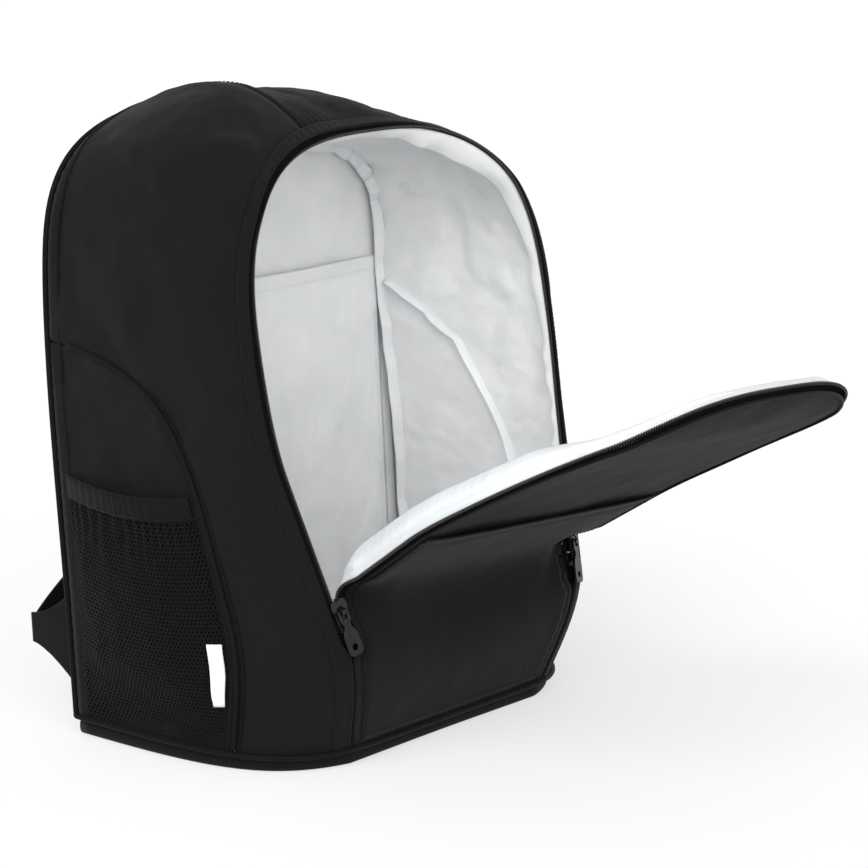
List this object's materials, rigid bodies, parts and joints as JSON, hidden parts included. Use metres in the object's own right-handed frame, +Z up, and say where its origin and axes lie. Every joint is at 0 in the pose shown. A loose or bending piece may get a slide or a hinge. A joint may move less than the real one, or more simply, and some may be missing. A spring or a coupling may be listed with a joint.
{
  "type": "racket backpack",
  "caption": "Soft backpack with a wide U-shaped zip opening, a padded front flap folded down, mesh side pockets, light lining and shoulder straps.",
  "frame": {"origin": "middle of the base panel's underside, on the ground", "axes": "+Z up, -Y to the front where the flap opens, +Y to the wearer's back, +X to the right seen from the front"},
  "size_m": [0.3686, 0.4884, 0.4324],
  "materials": {
    "fabric": "plain woven black polyester, soft sheen",
    "weave": "ribbed black twill",
    "trim": "black tape, cord and webbing",
    "mesh": "black open knitted mesh",
    "lining": "smooth white coated lining, soft gloss",
    "foam": "white foam under the lining",
    "zip": "black nylon coil",
    "metal": "black painted die-cast metal",
    "plastic": "black moulded plastic",
    "label": "bare white woven tab"
  },
  "bodies": {
    "bag": {"left_gusset_panel": "fabric", "right_gusset_panel": "fabric", "left_contour_panel": "fabric", "right_contour_panel": "fabric", "zip_facing_strip": "fabric", "front_panel": "fabric", "front_pocket": "fabric", "flap_fold": "fabric", "back_panel": "fabric", "base_panel": "fabric", "strap_yoke": "fabric", "left_shoulder_strap": "fabric", "right_shoulder_strap": "fabric", "left_corner_wing": "fabric", "right_corner_wing": "fabric", "left_handle_tab": "fabric", "right_handle_tab": "fabric", "top_centre_panel": "weave", "zip_tape_bag": "trim", "back_piping": "trim", "left_contour_piping": "trim", "right_contour_piping": "trim", "base_piping": "trim", "left_pocket_elastic": "trim", "right_pocket_elastic": "trim", "left_lower_webbing": "trim", "right_lower_webbing": "trim", "left_mesh_pocket": "mesh", "right_mesh_pocket": "mesh", "back_lining": "lining", "base_lining": "lining", "gusset_lining": "lining", "inner_slip_pocket": "lining", "left_inner_binding": "lining", "right_inner_binding": "lining", "zip_coil_bag": "zip", "left_zip_end": "zip", "right_zip_end": "zip", "left_strap_buckle": "plastic", "right_strap_buckle": "plastic", "side_label": "label"},
    "flap": {"flap_outer": "weave", "flap_foam": "foam", "flap_lining": "lining", "flap_piping": "trim", "zip_tape_flap": "trim", "zip_coil_flap": "zip", "flap_pocket_hem": "fabric"},
    "left_slider": {"left_slider": "metal"},
    "right_slider": {"right_slider": "metal"},
    "left_puller": {"left_puller": "metal"},
    "right_puller": {"right_puller": "metal"},
    "carry_handle": {"carry_handle": "trim"}
  },
  "joints": [
    {"name": "flap_hinge", "type": "hinge", "parent": "bag", "child": "flap", "pos_m": [0, -0.0996, 0.1156], "axis": [0.9984, 0.0499, -0.025], "range_deg": [-72.4, 25], "deforming": ["flap_fold"]},
    {"name": "left_slider_slide", "type": "slide", "parent": "bag", "child": "left_slider", "axis": [-0.1852, 0.2781, 0.9425], "range_m": [0, 0.075]},
    {"name": "right_slider_slide", "type": "slide", "parent": "bag", "child": "right_slider", "axis": [0.1852, 0.2781, 0.9425], "range_m": [0, 0.075]},
    {"name": "left_puller_swing", "type": "hinge", "parent": "left_slider", "child": "left_puller", "pos_m": [-0.12216, -0.10689, 0.11033], "axis": [-0.9492, 0.1976, -0.2448], "range_deg": [0, 125]},
    {"name": "right_puller_swing", "type": "hinge", "parent": "right_slider", "child": "right_puller", "pos_m": [0.12216, -0.10689, 0.11033], "axis": [-0.9492, -0.1976, 0.2448], "range_deg": [0, 100]},
    {"name": "handle_swing", "type": "hinge", "parent": "bag", "child": "carry_handle", "pos_m": [0, 0.11346, 0.3864], "axis": [1, 0, 0], "range_deg": [0, 150]}
  ]
}
